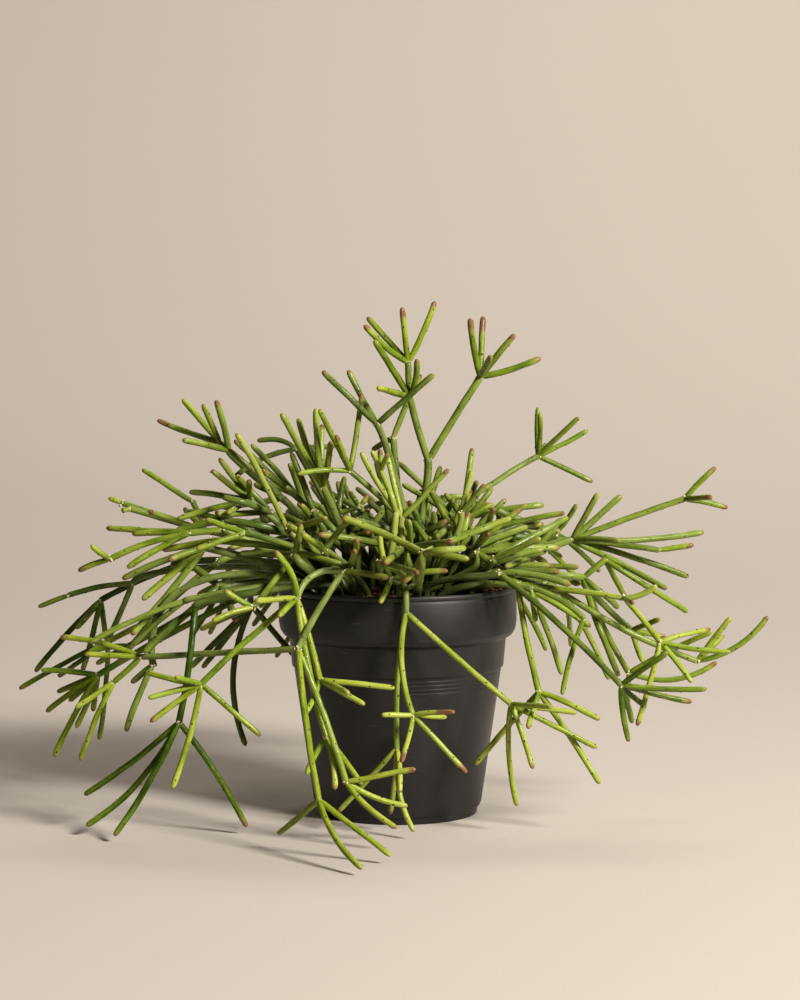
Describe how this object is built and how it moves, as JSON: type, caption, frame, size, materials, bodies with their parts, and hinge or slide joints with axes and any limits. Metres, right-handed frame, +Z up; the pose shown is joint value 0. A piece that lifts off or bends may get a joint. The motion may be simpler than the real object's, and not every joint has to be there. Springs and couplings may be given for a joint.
{
  "type": "potted mistletoe cactus",
  "caption": "Leafless pencil-stemmed hanging cactus forking in whorls, rooted in peat and trailing over the rim of a black plastic nursery pot.",
  "frame": {"origin": "centre of the pot's underside, on the surface that the pot stands on", "axes": "+Z up along the pot's axis, -Y towards the front of the plant, +X to its right"},
  "size_m": [0.3769, 0.3032, 0.2561],
  "materials": {
    "pot_plastic": "satin moulded black plastic",
    "peat": "matte crumbly peat",
    "stem": "satin waxy green skin"
  },
  "bodies": {
    "root": {"pot": "pot_plastic", "soil": "peat", "stem_tall_fork": "stem", "stem_crown_left": "stem", "stem_behind_fork": "stem", "stem_crown_elbow": "stem", "stem_crown_fan": "stem", "stem_crown_bright": "stem", "stem_crown_right": "stem", "stem_crown_lone": "stem", "stem_long_reach": "stem", "stem_back_sweep": "stem", "stem_grey_arch": "stem", "stem_high_left": "stem", "stem_bright_lean": "stem", "stem_left_twins": "stem", "stem_left_comb": "stem", "stem_left_spears": "stem", "stem_left_table": "stem", "stem_left_droop": "stem", "stem_dark_boom": "stem", "stem_dark_claw": "stem", "stem_low_fan": "stem", "stem_low_thin": "stem", "stem_brown_knee": "stem", "stem_hanging_claw": "stem", "stem_grey_trunk": "stem", "stem_yellow_hook": "stem", "stem_front_fountain": "stem", "stem_front_drop": "stem", "stem_right_knuckle": "stem", "stem_right_star": "stem", "stem_right_branch": "stem", "stem_right_arc": "stem", "stem_right_cross": "stem", "stem_right_drop": "stem", "stem_right_cluster": "stem", "stem_left_under": "stem", "stem_back_01": "stem", "stem_back_02": "stem", "stem_back_03": "stem", "stem_back_04": "stem", "stem_back_05": "stem", "stem_back_06": "stem", "stem_back_07": "stem", "stem_back_08": "stem", "stem_back_09": "stem", "stem_back_10": "stem"}
  },
  "joints": []
}
